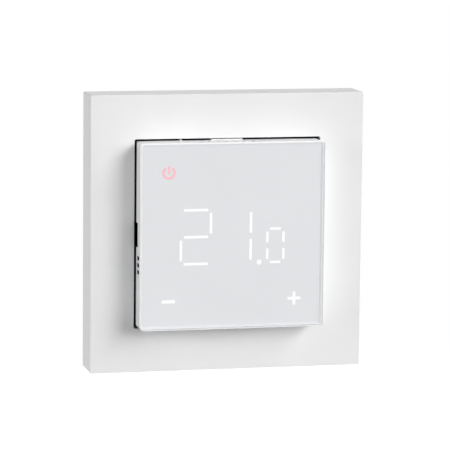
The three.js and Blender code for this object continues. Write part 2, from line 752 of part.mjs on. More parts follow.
/** The coil fills both windows and wraps the centre limb above and below the core. */
function transformerCoil() {
  const { x, z, width, height, depth, limb, window } = TRANSFORMER;
  const middle = componentFront + 1 + depth / 2;
  const tall = depth - 2 * limb - 2 * GAP;
  const wide = width - 2 * limb - 2 * GAP;
  const centreLimb = width - 2 * window - 2 * limb;
  return shaped(
    [block(x, z, wide, height + 5, middle - tall / 2, middle + tall / 2)],
    [block(x, z, centreLimb + 2 * GAP, height + 2 * GAP, middle - tall, middle + tall)],
  );
}

/** A can with a rounded foot and a slightly smaller top. */
function mainCapacitor() {
  const { radius, depth } = MAIN_CAPACITOR;
  const back = componentFront + depth;
  return turned([
    [0, componentFront], [radius - 0.2, componentFront], [radius, componentFront + 0.6],
    [radius, back - 0.5], [radius - 0.3, back], [0, back],
  ], 20);
}

function varistor() {
  const { x, z, radius, thickness, lift } = VARISTOR;
  const disc = new THREE.CylinderGeometry(radius, radius, thickness, 20);
  return disc.rotateX(Math.PI / 2).translate(x, componentFront + lift, z);
}

/** A glass tube with two metal end caps, along X. */
function fuse() {
  const { x, z, half, capRadius, glassRadius, capLength, lift } = FUSE;
  const shoulder = half - capLength;
  const barrel = turned([
    [0, -half], [capRadius, -half], [capRadius, -shoulder], [glassRadius, -shoulder],
    [glassRadius, shoulder], [capRadius, shoulder], [capRadius, half], [0, half],
  ]);
  return barrel.rotateZ(Math.PI / 2).translate(x, componentFront + lift, z);
}

function filmCapacitor() {
  const { x, z, width, height, depth } = FILM_CAPACITOR;
  return block(x, z, width, height, componentFront, componentFront + depth);
}

addPiece(rearUnit, 'power_board', powerBoard(), BOARD_GREEN);
addPiece(rearUnit, 'relay', relay(), RELAY_BLUE);
addPiece(rearUnit, 'transformer_core', transformerCore(), FERRITE);
addPiece(rearUnit, 'transformer_coil', transformerCoil(), COPPER);
const can = addPiece(rearUnit, 'main_capacitor', mainCapacitor(), BLACK_PLASTIC);
can.position.set(MAIN_CAPACITOR.x, 0, MAIN_CAPACITOR.z);
addPiece(rearUnit, 'film_capacitor', filmCapacitor(), FILM_YELLOW);
addPiece(rearUnit, 'varistor', varistor(), VARISTOR_BLUE);
addPiece(rearUnit, 'fuse', fuse(), ZINC_STEEL);

// ---- Rear unit: terminals ----

function terminalBlock() {
  const clampHalf = CLAMP.half + GAP;
  const cavityLow = TERMINAL_Z - CLAMP.length / 2 - GAP;
  const cavityHigh = TERMINAL_Z + CLAMP.length / 2 + GAP;
  const leadHalf = CLAMP.half - CLAMP_SIDE_WALL;
  const contactBack = CONTACT_FRONT + LEAD.thickness;
  const cuts = terminalPlaces.flatMap((x) => [
    box([x - clampHalf, x + clampHalf], [BLOCK.front - CUT, CLAMP_CAVITY_BACK], [cavityLow, cavityHigh]),
    box(
      [x - WIRE_ENTRY_HALF, x + WIRE_ENTRY_HALF],
      [CLAMP.front + CLAMP.wall, CONTACT_FRONT],
      [BLOCK.low - CUT, cavityLow + CUT],
    ),
    box(
      [x - leadHalf, x + leadHalf],
      [BLOCK.front - CUT, contactBack + GAP],
      [cavityHigh - CUT, LEAD.z + LEAD.thickness],
    ),
    rod(CLAMP_SCREW.headRadius + 0.4, CLAMP_CAVITY_BACK - CUT, REAR_BACK + CUT, x, TERMINAL_Z),
  ]);
  const body = box([-BLOCK.half, BLOCK.half], [BLOCK.front, REAR_BACK], [BLOCK.low, BLOCK.high]);
  return shaped([body], cuts);
}

/** A slotted clamp screw on its axis, with its head towards the back. */
function terminalScrew() {
  const { radius, headRadius, headFront, headHeight } = CLAMP_SCREW;
  const headBack = headFront + headHeight;
  const tip = CONTACT_FRONT + LEAD.thickness + GAP;
  const chamfer = 0.3;
  const body = turned([
    [0, tip], [radius - chamfer, tip], [radius, tip + chamfer], [radius, headFront], [headRadius, headFront],
    [headRadius, headBack - chamfer], [headRadius - chamfer, headBack], [0, headBack],
  ]);
  const { width, depth } = CLAMP_SCREW_SLOT;
  return shaped([body], [block(0, 0, 2 * headRadius + CUT, width, headBack - depth, headBack + CUT)]);
}

/** A square clamp that the screw draws back against the fixed contact. */
function terminalClamp() {
  const { front, back, wall, half, length } = CLAMP;
  return shaped(
    [block(0, 0, 2 * half, length, front, back)],
    [
      block(0, 0, 2 * (half - CLAMP_SIDE_WALL), length + 1, front + wall, back - wall),
      rod(CLAMP_SCREW.radius + GAP, back - wall - CUT, back + CUT),
    ],
  );
}

function fixedContact() {
  const tongueBack = CONTACT_FRONT + LEAD.thickness;
  const tongueLow = TERMINAL_Z - 2.6;
  return shaped([
    box([-1.2, 1.2], [CONTACT_FRONT, tongueBack], [tongueLow, LEAD.z + LEAD.thickness / 2]),
    block(0, LEAD.z, LEAD.width, LEAD.thickness, REAR_BOARD_FRONT - 0.4, tongueBack),
  ]);
}

addPiece(rearUnit, 'terminal_block', terminalBlock(), WHITE_PLASTIC);
terminalPlaces.forEach((x, i) => {
  const terminal = new THREE.Group();
  terminal.position.x = x;
  addPiece(terminal, `terminal_screw_${i + 1}`, terminalScrew(), ZINC_STEEL).position.z = TERMINAL_Z;
  addPiece(terminal, `terminal_clamp_${i + 1}`, terminalClamp(), ZINC_STEEL).position.z = TERMINAL_Z;
  addPiece(terminal, `fixed_contact_${i + 1}`, fixedContact(), BRASS);
  rearUnit.add(terminal);
});

export default thermostat;
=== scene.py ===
"""Looks of the wall thermostat: fine meshes, materials, the lit display, lights and camera.

X points right and Z up as the user sees the device, and Y points into the wall, so that a smaller Y is
further to the front. Meshes are made in millimetres, and piece_of() turns them into the metres of the frame.
"""
import json
import math

import bmesh
import bpy
from mathutils import Matrix, Vector


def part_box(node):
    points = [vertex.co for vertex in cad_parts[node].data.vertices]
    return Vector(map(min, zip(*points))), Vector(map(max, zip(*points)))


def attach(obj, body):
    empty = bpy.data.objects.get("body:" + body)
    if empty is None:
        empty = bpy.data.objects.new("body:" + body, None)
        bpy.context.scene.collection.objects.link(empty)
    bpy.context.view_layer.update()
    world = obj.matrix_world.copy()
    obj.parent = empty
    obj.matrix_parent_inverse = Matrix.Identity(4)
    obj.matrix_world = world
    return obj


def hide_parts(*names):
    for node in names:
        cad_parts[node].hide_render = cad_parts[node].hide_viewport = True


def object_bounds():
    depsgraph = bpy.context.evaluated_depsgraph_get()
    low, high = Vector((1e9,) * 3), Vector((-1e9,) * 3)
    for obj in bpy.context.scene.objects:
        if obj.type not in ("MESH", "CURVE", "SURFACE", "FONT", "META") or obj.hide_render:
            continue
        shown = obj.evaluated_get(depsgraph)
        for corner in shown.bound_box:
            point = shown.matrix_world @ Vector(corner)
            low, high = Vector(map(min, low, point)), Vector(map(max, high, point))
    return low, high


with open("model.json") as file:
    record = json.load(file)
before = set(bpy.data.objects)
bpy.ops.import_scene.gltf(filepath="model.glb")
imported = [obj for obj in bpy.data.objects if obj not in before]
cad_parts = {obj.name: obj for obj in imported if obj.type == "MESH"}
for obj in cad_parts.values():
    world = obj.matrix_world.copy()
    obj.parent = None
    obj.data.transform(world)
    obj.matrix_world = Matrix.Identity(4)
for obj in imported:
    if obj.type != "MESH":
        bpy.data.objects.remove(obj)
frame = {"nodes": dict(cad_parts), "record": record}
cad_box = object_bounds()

MM = 0.001
WHITE = (1, 1, 1, 1)
SCENE = bpy.context.scene
NODES = frame["nodes"]


# ---- Node trees ----

def math_node(tree, operation, first, second=None):
    """The result of a math node over one output or two."""
    made = tree.nodes.new("ShaderNodeMath")
    made.operation = operation
    tree.links.new(first, made.inputs[0])
    if second is not None:
        tree.links.new(second, made.inputs[1])
    return made.outputs[0]


class Finish:
    """A material's node tree, with short calls for the nodes that the finishes share."""

    def __init__(self, name):
        self.material = bpy.data.materials.new(name)
        self.material.use_nodes = True
        self.tree = self.material.node_tree
        self.shader = self.tree.nodes["Principled BSDF"]
        self.place = self.tree.nodes.new("ShaderNodeTexCoord").outputs["Object"]

    def set(self, **sockets):
        """Sets shader sockets. An underscore in a name stands for a space."""
        for name, value in sockets.items():
            self.shader.inputs[name.replace("_", " ")].default_value = value
        return self

    def node(self, kind, vector=None, **inputs):
        """Adds a node. An underscore in an input's name stands for a space."""
        made = self.tree.nodes.new(kind)
        if vector is not None:
            self.tree.links.new(vector, made.inputs["Vector"])
        for name, value in inputs.items():
            made.inputs[name.replace("_", " ")].default_value = value
        return made

    def noise(self, per_metre, detail=3.0, roughness=0.5, vector=None):
        """Fractal noise from 0 to 1, with a number of lumps in each metre."""
        made = self.node("ShaderNodeTexNoise", vector or self.place, Scale=per_metre, Detail=detail,
                         Roughness=roughness)
        return made.outputs["Fac"]

    def cells(self, per_metre):
        """The distance from the middle of a cell, with a number of cells in each metre."""
        return self.node("ShaderNodeTexVoronoi", self.place, Scale=per_metre).outputs["Distance"]

    def stretched(self, x, y, z):
        """The piece's own coordinates, scaled along each axis."""
        return self.node("ShaderNodeMapping", self.place, Scale=(x, y, z)).outputs["Vector"]

    def ramp(self, factor, low, high, start=0.3, end=0.7):
        """A blend from one colour or value to another over a span of the factor."""
        made = self.tree.nodes.new("ShaderNodeValToRGB")
        for element, place, value in zip(made.color_ramp.elements, (start, end), (low, high)):
            element.position = place
            element.color = (value, value, value, 1) if isinstance(value, (int, float)) else (*value, 1)
        self.tree.links.new(factor, made.inputs["Fac"])
        return made.outputs["Color"]

    def link(self, output, socket):
        """Links an output to a shader socket."""
        self.tree.links.new(output, self.shader.inputs[socket])

    def bump(self, height, depth, below=None):
        """Bumps of a depth in metres, over another bump if one is given."""
        made = self.node("ShaderNodeBump", Distance=depth)
        self.tree.links.new(height, made.inputs["Height"])
        if below:
            self.tree.links.new(below, made.inputs["Normal"])
        self.tree.links.new(made.outputs["Normal"], self.shader.inputs["Normal"])
        return made.outputs["Normal"]


def tinted(colour, share):
    """A colour made darker or lighter."""
    return tuple(min(1.0, channel * share) for channel in colour)


# ---- Finishes ----

def moulded_plastic(name, colour, gloss, clouding=0.012, grain_depth=0.0035 * MM, sheen=0.35):
    """Moulded plastic: faint flow clouds, uneven gloss, a spark-eroded grain and slightly sunk surfaces."""
    finish = Finish(name).set(Specular_IOR_Level=sheen)
    clouds = finish.noise(60, detail=2)
    finish.link(finish.ramp(clouds, tinted(colour, 1 - clouding), tinted(colour, 1 + clouding)), "Base Color")
    finish.link(finish.ramp(finish.noise(900, detail=4), gloss - 0.05, gloss + 0.05), "Roughness")
    waves = finish.bump(finish.noise(90, detail=1), 0.02 * MM)
    finish.bump(finish.noise(5200, detail=3, roughness=0.6), grain_depth, waves)
    return finish.material


def filled_plastic(name, colour):
    """Glass-filled plastic: short pale fibres under a matt skin."""
    finish = Finish(name)
    fibres = finish.noise(2600, detail=2, vector=finish.stretched(1, 0.25, 0.6))
    clouds = finish.ramp(finish.noise(80), tinted(colour, 0.93), tinted(colour, 1.04))
    mix = finish.tree.nodes.new("ShaderNodeMix")
    mix.data_type = "RGBA"
    finish.tree.links.new(finish.ramp(fibres, 0.0, 0.35, start=0.6, end=0.75), mix.inputs["Factor"])
    finish.tree.links.new(clouds, mix.inputs["A"])
    mix.inputs["B"].default_value = (*tinted(colour, 1.25), 1)
    finish.link(mix.outputs["Result"], "Base Color")
    finish.link(finish.ramp(finish.noise(1500, detail=4), 0.48, 0.66), "Roughness")
    finish.bump(finish.noise(3800, detail=4, roughness=0.65), 0.012 * MM)
    return finish.material


# The strength of the painted glow on the acrylic's edges, an emission that stands in for light leaving them.
PAINTED_EDGE_GLOW = 0.13


def clear_acrylic():
    """Clear acrylic. Light reaches the print straight through it, but nothing behind it is lit through it.

    Its edges carry a painted glow: a little emission stands in for light that is trapped between its faces
    and leaves there. The front and the back don't glow, and neither do the edges as seen from inside.
    """
    finish = Finish("clear_acrylic")
    finish.set(Base_Color=(0.985, 0.992, 0.99, 1), IOR=1.49, Transmission_Weight=1.0, Emission_Color=WHITE)
    finish.link(finish.ramp(finish.noise(300, detail=2), 0.012, 0.03), "Roughness")
    tree = finish.tree
    normal = tree.nodes.new("ShaderNodeSeparateXYZ")
    tree.links.new(tree.nodes.new("ShaderNodeTexCoord").outputs["Normal"], normal.inputs[0])
    facing_front = math_node(tree, "ABSOLUTE", normal.outputs["Y"])
    from_inside = tree.nodes.new("ShaderNodeNewGeometry").outputs["Backfacing"]
    no_painted_glow = math_node(tree, "MAXIMUM", facing_front, from_inside)
    # Painted glow: emission on the side walls as seen from outside, not on the front, the back or from
    # inside.
    finish.link(finish.ramp(no_painted_glow, PAINTED_EDGE_GLOW, 0.0, start=0.2, end=0.6), "Emission Strength")
    path = tree.nodes.new("ShaderNodeLightPath")
    lighting = math_node(tree, "MAXIMUM", path.outputs["Is Shadow Ray"], path.outputs["Is Diffuse Ray"])
    clear = tree.nodes.new("ShaderNodeBsdfTransparent")
    mix = tree.nodes.new("ShaderNodeMixShader")
    tree.links.new(math_node(tree, "MULTIPLY", lighting, from_inside), mix.inputs["Fac"])
    tree.links.new(finish.shader.outputs["BSDF"], mix.inputs[1])
    tree.links.new(clear.outputs["BSDF"], mix.inputs[2])
    tree.links.new(mix.outputs["Shader"], tree.nodes["Material Output"].inputs["Surface"])
    return finish.material


def screen_print():
    """Ink on the back of the panel: an even cool grey-white with a faint screen grain."""
    finish = Finish("panel_ink")
    clouds = finish.noise(45, detail=2)
    finish.link(finish.ramp(clouds, (0.79, 0.802, 0.824), (0.805, 0.817, 0.839)), "Base Color")
    finish.link(finish.ramp(finish.noise(4000, detail=2), 0.6, 0.7), "Roughness")
    return finish.material


def lit(name, colour):
    """Light that comes through a window in the ink, a little uneven across the window."""
    finish = Finish(name)
    finish.set(Base_Color=(0, 0, 0, 1), Emission_Strength=1.0)
    finish.link(finish.ramp(finish.noise(500, detail=1), tinted(colour, 0.97), colour), "Emission Color")
    finish.link(finish.ramp(finish.noise(2000, detail=1), 0.5, 0.6), "Roughness")
    return finish.material


def plated_steel():
    """Zinc plating: fine rolling marks, spangled gloss and a faint blue and straw tint."""
    finish = Finish("zinc_plated_steel").set(Metallic=1.0)
    tint = finish.noise(120, detail=4)
    finish.link(finish.ramp(tint, (0.46, 0.475, 0.50), (0.55, 0.545, 0.53)), "Base Color")
    finish.link(finish.ramp(finish.cells(900), 0.3, 0.38, start=0.1, end=0.8), "Roughness")
    finish.bump(finish.noise(2400, detail=2, vector=finish.stretched(0.06, 1, 1)), 0.006 * MM)
    return finish.material


def bright_metal(name, colour, gloss):
    """Drawn or stamped metal with fine marks."""
    finish = Finish(name).set(Metallic=1.0)
    finish.link(finish.ramp(finish.noise(200), tinted(colour, 0.88), tinted(colour, 1.05)), "Base Color")
    finish.link(finish.ramp(finish.noise(1500), gloss - 0.06, gloss + 0.08), "Roughness")
    finish.bump(finish.noise(3000, detail=2, vector=finish.stretched(1, 0.1, 1)), 0.004 * MM)
    return finish.material


def wound_copper():
    """A coil's enamelled turns, side by side along Z, with painted shade and highlight: the copper is darker
    in the grooves between the turns and lighter on their crests.
    """
    finish = Finish("copper_winding").set(Metallic=1.0)
    wave = finish.node("ShaderNodeTexWave", finish.place, Scale=320, Distortion=0.6, Detail=1)
    wave.bands_direction = "Z"
    turns = wave.outputs["Fac"]
    # Painted shade and highlight: the copper is darker where the bump sinks between the turns and lighter on
    # the crests.
    finish.link(finish.ramp(turns, (0.32, 0.12, 0.05), (0.72, 0.34, 0.16), start=0.1), "Base Color")
    finish.link(finish.ramp(finish.noise(800, detail=2), 0.25, 0.4), "Roughness")
    finish.bump(turns, 0.08 * MM)
    return finish.material


def circuit_board():
    """Green lacquer over copper tracks."""
    finish = Finish("green_board").set(Coat_Weight=0.5, Coat_Roughness=0.15)
    tracks = finish.node("ShaderNodeTexBrick", finish.place, Scale=260, Mortar_Size=0.03)
    tracks.inputs["Color1"].default_value = (0.012, 0.10, 0.045, 1)
    tracks.inputs["Color2"].default_value = (0.016, 0.125, 0.055, 1)
    tracks.inputs["Mortar"].default_value = (0.04, 0.22, 0.09, 1)
    finish.link(tracks.outputs["Color"], "Base Color")
    finish.link(finish.ramp(finish.noise(700), 0.3, 0.45), "Roughness")
    finish.bump(tracks.outputs["Fac"], 0.03 * MM)
    return finish.material


def dipped(name, colour, gloss):
    """A dipped or cast case with an orange-peel skin."""
    finish = Finish(name).set(Coat_Weight=0.3, Coat_Roughness=0.2)
    finish.link(finish.ramp(finish.noise(250), tinted(colour, 0.85), tinted(colour, 1.12)), "Base Color")
    finish.link(finish.ramp(finish.noise(900), gloss - 0.05, gloss + 0.1), "Roughness")
    finish.bump(finish.noise(700, detail=2), 0.03 * MM)
    return finish.material


def sintered(name, colour):
    """Sintered ferrite: a rough dark grain with paler specks."""
    finish = Finish(name)
    specks = finish.ramp(finish.cells(2200), tinted(colour, 0.6), tinted(colour, 1.7), start=0.05, end=0.6)
    finish.link(specks, "Base Color")
    finish.link(finish.ramp(finish.noise(1200, detail=4), 0.55, 0.8), "Roughness")
    finish.bump(finish.noise(2600, detail=5, roughness=0.7), 0.03 * MM)
    return finish.material


# A finish for each of the record's material slots.
FINISHES = {
    "frame_plastic": moulded_plastic("frame_white", (0.87, 0.87, 0.872), 0.42),
    "housing_plastic": moulded_plastic("housing_white", (0.84, 0.84, 0.845), 0.46),
    "panel_clear": clear_acrylic(),
    "print_white": screen_print(),
    "lit_white": lit("lit_white", (1.0, 1.0, 1.0)),
    "lit_red": lit("lit_red", (0.93, 0.46, 0.53)),
    "black_plastic": moulded_plastic("black_plastic", (0.008, 0.008, 0.0085), 0.62, clouding=0.1,
                                     grain_depth=0.008 * MM, sheen=0.04),
    "grey_plastic": filled_plastic("grey_filled_plastic", (0.50, 0.51, 0.52)),
    "terminal_plastic": moulded_plastic("terminal_white", (0.76, 0.755, 0.73), 0.5, clouding=0.02,
                                        grain_depth=0.006 * MM),
    "board_green": circuit_board(),
    "spring_steel": bright_metal("spring_steel", (0.70, 0.70, 0.72), 0.25),
    "zinc_steel": plated_steel(),
    "brass": bright_metal("brass", (0.78, 0.60, 0.28), 0.28),
    "ferrite": sintered("ferrite", (0.05, 0.05, 0.055)),
    "copper_wire": wound_copper(),
    "relay_blue": dipped("relay_case", (0.06, 0.22, 0.55), 0.35),
    "varistor_blue": dipped("varistor_lacquer", (0.03, 0.10, 0.38), 0.3),
    "film_yellow": dipped("film_capacitor_case", (0.70, 0.52, 0.08), 0.35),
}


# ---- CAD nodes ----

WELD_DISTANCE = 0.001  # in millimetres
FLAT_ANGLE = math.radians(0.5)  # faces that meet at less are one flat face
EDGE_ANGLE = math.radians(30)  # faces that meet at more have a rounded edge
SHARP_ANGLE = math.radians(35)  # faces that meet at more are shaded apart
EDGE_SEGMENTS = 3


def soften(node, width):
    """Rounds edges with modifiers, and leaves the mesh as it is. The width is in millimetres."""
    weld = node.modifiers.new("weld", "WELD")
    weld.merge_threshold = WELD_DISTANCE * MM
    flat = node.modifiers.new("flat_faces", "DECIMATE")
    flat.decimate_type = "DISSOLVE"
    flat.angle_limit = FLAT_ANGLE
    edge = node.modifiers.new("edges", "BEVEL")
    edge.width = width * MM
    edge.segments = EDGE_SEGMENTS
    edge.limit_method = "ANGLE"
    edge.angle_limit = EDGE_ANGLE
    edge.harden_normals = True


# The widths of the rounded edges, in millimetres.
EDGES = {
    "cover_frame": 0.15, "front_housing": 0.12, "touch_panel": 0.25, "switch_knob": 0.12, "switch_body": 0.1,
    "rear_housing": 0.3, "unit_back_cover": 0.2, "front_deck": 0.15, "relay": 0.12, "film_capacitor": 0.4,
    "transformer_coil": 0.8, "room_sensor": 0.03,
}
DEFAULT_EDGE = 0.06


def dress_cad_nodes():
    """Gives each CAD node the finish of its slot in the record, and softened edges."""
    for subpart in frame["record"]["subparts"]:
        node = NODES[subpart["node"]]
        node.material_slots[0].material = FINISHES[subpart["material_slot"]]
        soften(node, EDGES.get(subpart["node"], DEFAULT_EDGE))


# ---- Mesh helpers, in millimetres ----

CORNERS = ((-1, -1), (1, -1), (1, 1), (-1, 1))


def box_of(node):
    """A CAD node's lowest and highest corners, in millimetres."""
    return [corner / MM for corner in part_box(node)]


def add_box(mesh, low, high):
    """Adds a box between two corners to a bmesh."""
    low, high = Vector(low), Vector(high)
    size = Matrix.Diagonal((*(high - low), 1))
    made = bmesh.ops.create_cube(mesh, size=1)
    bmesh.ops.transform(mesh, matrix=Matrix.Translation((low + high) / 2) @ size, verts=made["verts"])


def add_prism(mesh, outline, front, back):
    """Adds an outline in X and Z, given anticlockwise as the user sees it, as a solid between two depths."""
    near = [mesh.verts.new((x, front, z)) for x, z in outline]
    far = [mesh.verts.new((x, back, z)) for x, z in outline]
    mesh.faces.new(near)
    mesh.faces.new(far[::-1])
    for i in range(len(outline)):
        j = (i + 1) % len(outline)
        mesh.faces.new((near[j], near[i], far[i], far[j]))


def add_tube(mesh, loops, closed=False):
    """Joins loops of points one after another, closed into a ring or capped at both ends."""
    rows = [[mesh.verts.new(point) for point in loop] for loop in loops]
    for row, after in zip(rows, rows[1:] + rows[:1] if closed else rows[1:]):
        for i in range(len(row)):
            j = (i + 1) % len(row)
            mesh.faces.new((row[i], row[j], after[j], after[i]))
    if not closed:
        mesh.faces.new(rows[0])
        mesh.faces.new(rows[-1][::-1])


def add_tapered(mesh, x, z, sections):
    """Adds a four-sided bar along Y. A section is (half of the width, half of the height, depth)."""
    add_tube(mesh, [[(x + a * wide, y, z + b * high) for a, b in CORNERS] for wide, high, y in sections])


def circle(x, z, radius, steps):
    """The points of a circle in X and Z, anticlockwise as the user sees it."""
    angles = [2 * math.pi * i / steps for i in range(steps)]
    return [(x + radius * math.cos(a), z + radius * math.sin(a)) for a in angles]


def add_turned(mesh, x, z, profile, steps=40):
    """Adds a body of revolution about Y. The profile's points are (radius, depth), and its ends are flat."""
    add_tube(mesh, [[(px, y, pz) for px, pz in circle(x, z, radius, steps)] for radius, y in profile])


def add_thread(mesh, x, z, radius, front, back, pitch):
    """Adds a threaded rod along Y. Its thread runs in from nothing at the front."""
    steps, rows = 20, 4  # the points around, and the loops in one pitch
    depth = 0.55 * pitch
    loops = []
    for i in range(round((back - front) / pitch * rows) + 1):
        y = front + i * pitch / rows
        loop = []
        for j, (px, pz) in enumerate(circle(0, 0, 1, steps)):
            phase = (i / rows - j / steps) % 1
            reach = radius - depth * abs(2 * phase - 1) * min(1, i / rows)
            loop.append((x + px * reach, y, z + pz * reach))
        loops.append(loop)
    add_tube(mesh, loops)


def rounded_outline(x, z, width, height, radius, steps=4):
    """The points of a rounded rectangle, anticlockwise as the user sees it."""
    points = []
    for corner in range(4):
        turn = corner * math.pi / 2
        side_x = 1 if corner in (0, 3) else -1
        side_z = 1 if corner in (0, 1) else -1
        for i in range(steps + 1):
            angle = turn + i * math.pi / 2 / steps
            points.append((x + side_x * (width / 2 - radius) + radius * math.cos(angle),
                           z + side_z * (height / 2 - radius) + radius * math.sin(angle)))
    return points


def chamfered_outline(half, chamfer):
    """A square with its corners cut at 45 degrees."""
    short = half - chamfer
    return [(half, short), (short, half), (-short, half), (-half, short),
            (-half, -short), (-short, -half), (short, -half), (half, -short)]


def four_sides(mesh, low, high):
    """Adds a box and its three quarter turns about Y."""
    for quarter in range(4):
        part = bmesh.new()
        add_box(part, low, high)
        bmesh.ops.rotate(part, matrix=Matrix.Rotation(quarter * math.pi / 2, 3, "Y"), verts=part.verts)
        join(mesh, part)


def join(mesh, part):
    """Moves one bmesh into another."""
    data = bpy.data.meshes.new("part")
    part.to_mesh(data)
    part.free()
    mesh.from_mesh(data)
    bpy.data.meshes.remove(data)


def laid_along(mesh, axis, centre):
    """Turns a body that was made about Y by a quarter about another axis, and moves it to its place."""
    bmesh.ops.rotate(mesh, matrix=Matrix.Rotation(math.pi / 2, 3, axis), verts=mesh.verts)
    bmesh.ops.translate(mesh, vec=centre, verts=mesh.verts)


def carved(base, *cutters):
    """The first bmesh with each of the others cut from it. The solids in one cutter must not overlap."""
    placed = []
    for mesh in (base, *cutters):
        bmesh.ops.recalc_face_normals(mesh, faces=mesh.faces)
        data = bpy.data.meshes.new("carving")
        mesh.to_mesh(data)
        mesh.free()
        placed.append(bpy.data.objects.new("carving", data))
        SCENE.collection.objects.link(placed[-1])
    for cutter in placed[1:]:
        cut = placed[0].modifiers.new("cut", "BOOLEAN")
        cut.object = cutter
        cut.solver = "EXACT"
    result = bmesh.new()
    result.from_object(placed[0], bpy.context.evaluated_depsgraph_get())
    for carving in placed:
        data = carving.data
        bpy.data.objects.remove(carving)
        bpy.data.meshes.remove(data)
    return result


def piece_of(mesh, name, body, slot, replaced=(), edge=None):
    """Makes an object of a bmesh in millimetres. It rides on a body and takes its finish from a slot."""
    bmesh.ops.recalc_face_normals(mesh, faces=mesh.faces)
    bmesh.ops.scale(mesh, vec=(MM, MM, MM), verts=mesh.verts)
    data = bpy.data.meshes.new(name)
    mesh.to_mesh(data)
    mesh.free()
    for face in data.polygons:
        face.use_smooth = True
    data.set_sharp_from_angle(angle=SHARP_ANGLE)
    piece = bpy.data.objects.new(name, data)
    SCENE.collection.objects.link(piece)
    data.materials.append(FINISHES[slot])
    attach(piece, body)
    if replaced:
        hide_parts(*replaced)
    if edge:
        soften(piece, edge)


# ---- Front unit ----

PANEL = box_of("touch_panel")
PRINT = box_of("panel_print")
HOUSING = box_of("front_housing")
# The skirt is painted shade: a black sheet that darkens the gap around the housing, behind the frame's front.
SHADE_SKIRT_FRONT = -11.75
SHADE_SKIRT_TOP_FRONT = -10.6
SHADE_SKIRT_BACK = HOUSING[1].y - 0.1
SHADE_SKIRT_THICKNESS = 0.12
SWITCH_WINDOW_HALF = 3.65
SWITCH_WINDOW = (-13.85, -8.8)  # its front and back ends
SIDE_VENTS = (-6.75, -8.8, -10.85)
SIDE_VENT_HALF = 0.66
SIDE_VENT_BACK = -13.5
# The linings are painted shade: black sheets that darken the switch's window and the side vents' back ends.
SHADE_LINING = 0.1
SHADE_LINING_DEPTH = (0.02, 1.6)  # where the linings start and end, behind the housing's outside
SHADE_LINING_GAP = 0.01


def painted_shade_skirt():
    """Painted shade: a thin black skirt around the housing, behind the frame's front, that darkens the gap
    around the housing where shade falls. It is notched for the switch's window.
    """
    low, high = PANEL[0].x, PANEL[1].x
    near, far = low - SHADE_SKIRT_THICKNESS, high + SHADE_SKIRT_THICKNESS
    past, meeting = 1, 0.01  # how far the cutters reach past the skirt, and into each other above
    skirt, inside, above, notch = (bmesh.new() for _ in range(4))
    add_box(skirt, (near, SHADE_SKIRT_FRONT, near), (far, SHADE_SKIRT_BACK, far))
    add_box(inside, (low, SHADE_SKIRT_FRONT - past, low), (high, SHADE_SKIRT_BACK + past, high))
    add_box(above, (near - past, SHADE_SKIRT_FRONT - past, high - meeting),
            (far + past, SHADE_SKIRT_TOP_FRONT, far + past))
    add_box(notch, (near - past, SHADE_SKIRT_FRONT - past, -SWITCH_WINDOW_HALF),
            (low + past, SWITCH_WINDOW[1], SWITCH_WINDOW_HALF))
    piece_of(carved(skirt, inside, above, notch), "painted_shade_skirt", "front_unit", "black_plastic")


def painted_shade_linings():
    """Painted shade: black linings in the switch's window, and at the back ends of the side vents, that
    darken these recesses where shade falls.
    """
    near, far = (PANEL[0].x + depth for depth in SHADE_LINING_DEPTH)
    mesh = bmesh.new()
    front, back = SWITCH_WINDOW
    sides_back = back - SHADE_LINING - SHADE_LINING_GAP
    edge = SWITCH_WINDOW_HALF
    add_box(mesh, (near, back - SHADE_LINING, -edge), (far, back, edge))
    add_box(mesh, (near, front, edge - SHADE_LINING), (far, sides_back, edge))
    add_box(mesh, (near, front, -edge), (far, sides_back, SHADE_LINING - edge))
    for z in SIDE_VENTS:
        add_box(mesh, (near, SIDE_VENT_BACK - SHADE_LINING, z - SIDE_VENT_HALF),
                (far, SIDE_VENT_BACK, z + SIDE_VENT_HALF))
    piece_of(mesh, "painted_shade_linings", "front_unit", "black_plastic")


def touch_springs():
    """Compression springs with closed ends."""
    wire, turns = 0.25, 3.5  # the wire's radius, and the turns with the two closed half turns
    around, ring = 28, 8  # the loops in one turn, and the points in one loop
    for key in ("power", "minus", "plus"):
        node = "touch_spring_" + key
        low, high = box_of(node)
        radius = (high.x - low.x) / 2 - wire
        centre = (low + high) / 2
        count = round(turns * around)
        loops = []
        for i in range(count + 1):
            share, angle = i / count, 2 * math.pi * i / around
            rise = min(max((share * turns - 0.5) / (turns - 1), 0), 1)
            y = low.y + wire + rise * (high.y - low.y - 2 * wire)
            out = Vector((math.cos(angle), 0, math.sin(angle)))
            middle = Vector((centre.x, y, centre.z)) + out * radius
            loops.append([middle + out * wire * math.cos(a) + Vector((0, wire * math.sin(a), 0))
                          for a in (2 * math.pi * j / ring for j in range(ring))])
        mesh = bmesh.new()
        add_tube(mesh, loops)
        piece_of(mesh, "coil_" + key, "front_unit", "spring_steel", [node])


def pin_header():
    """A black bar with two rows of brass pins, pointed at the back."""
    low, high = box_of("pin_header")
    centre = (low + high) / 2
    pitch, pin_half, block_half = 2.54, 0.32, 1.2
    point, inset, bar_depth = 0.6, 0.3, 2.5
    bar_back = low.y + bar_depth
    bar, pins = bmesh.new(), bmesh.new()
    for column in range(-2, 3):
        for z in (centre.z - pitch / 2, centre.z + pitch / 2):
            x = centre.x + column * pitch
            sections = ((pin_half, low.y + point), (pin_half, high.y - point), (pin_half / 2, high.y))
            add_tapered(pins, x, z, [(half, half, y) for half, y in sections])
            add_box(bar, (x - block_half, low.y, z - block_half), (x + block_half, bar_back, z + block_half))
    add_box(bar, (low.x, low.y + inset, low.z), (high.x, bar_back - inset, high.z))
    piece_of(bar, "header_bar", "front_unit", "black_plastic", ["pin_header"], edge=0.1)
    piece_of(pins, "header_pins", "front_unit", "brass")


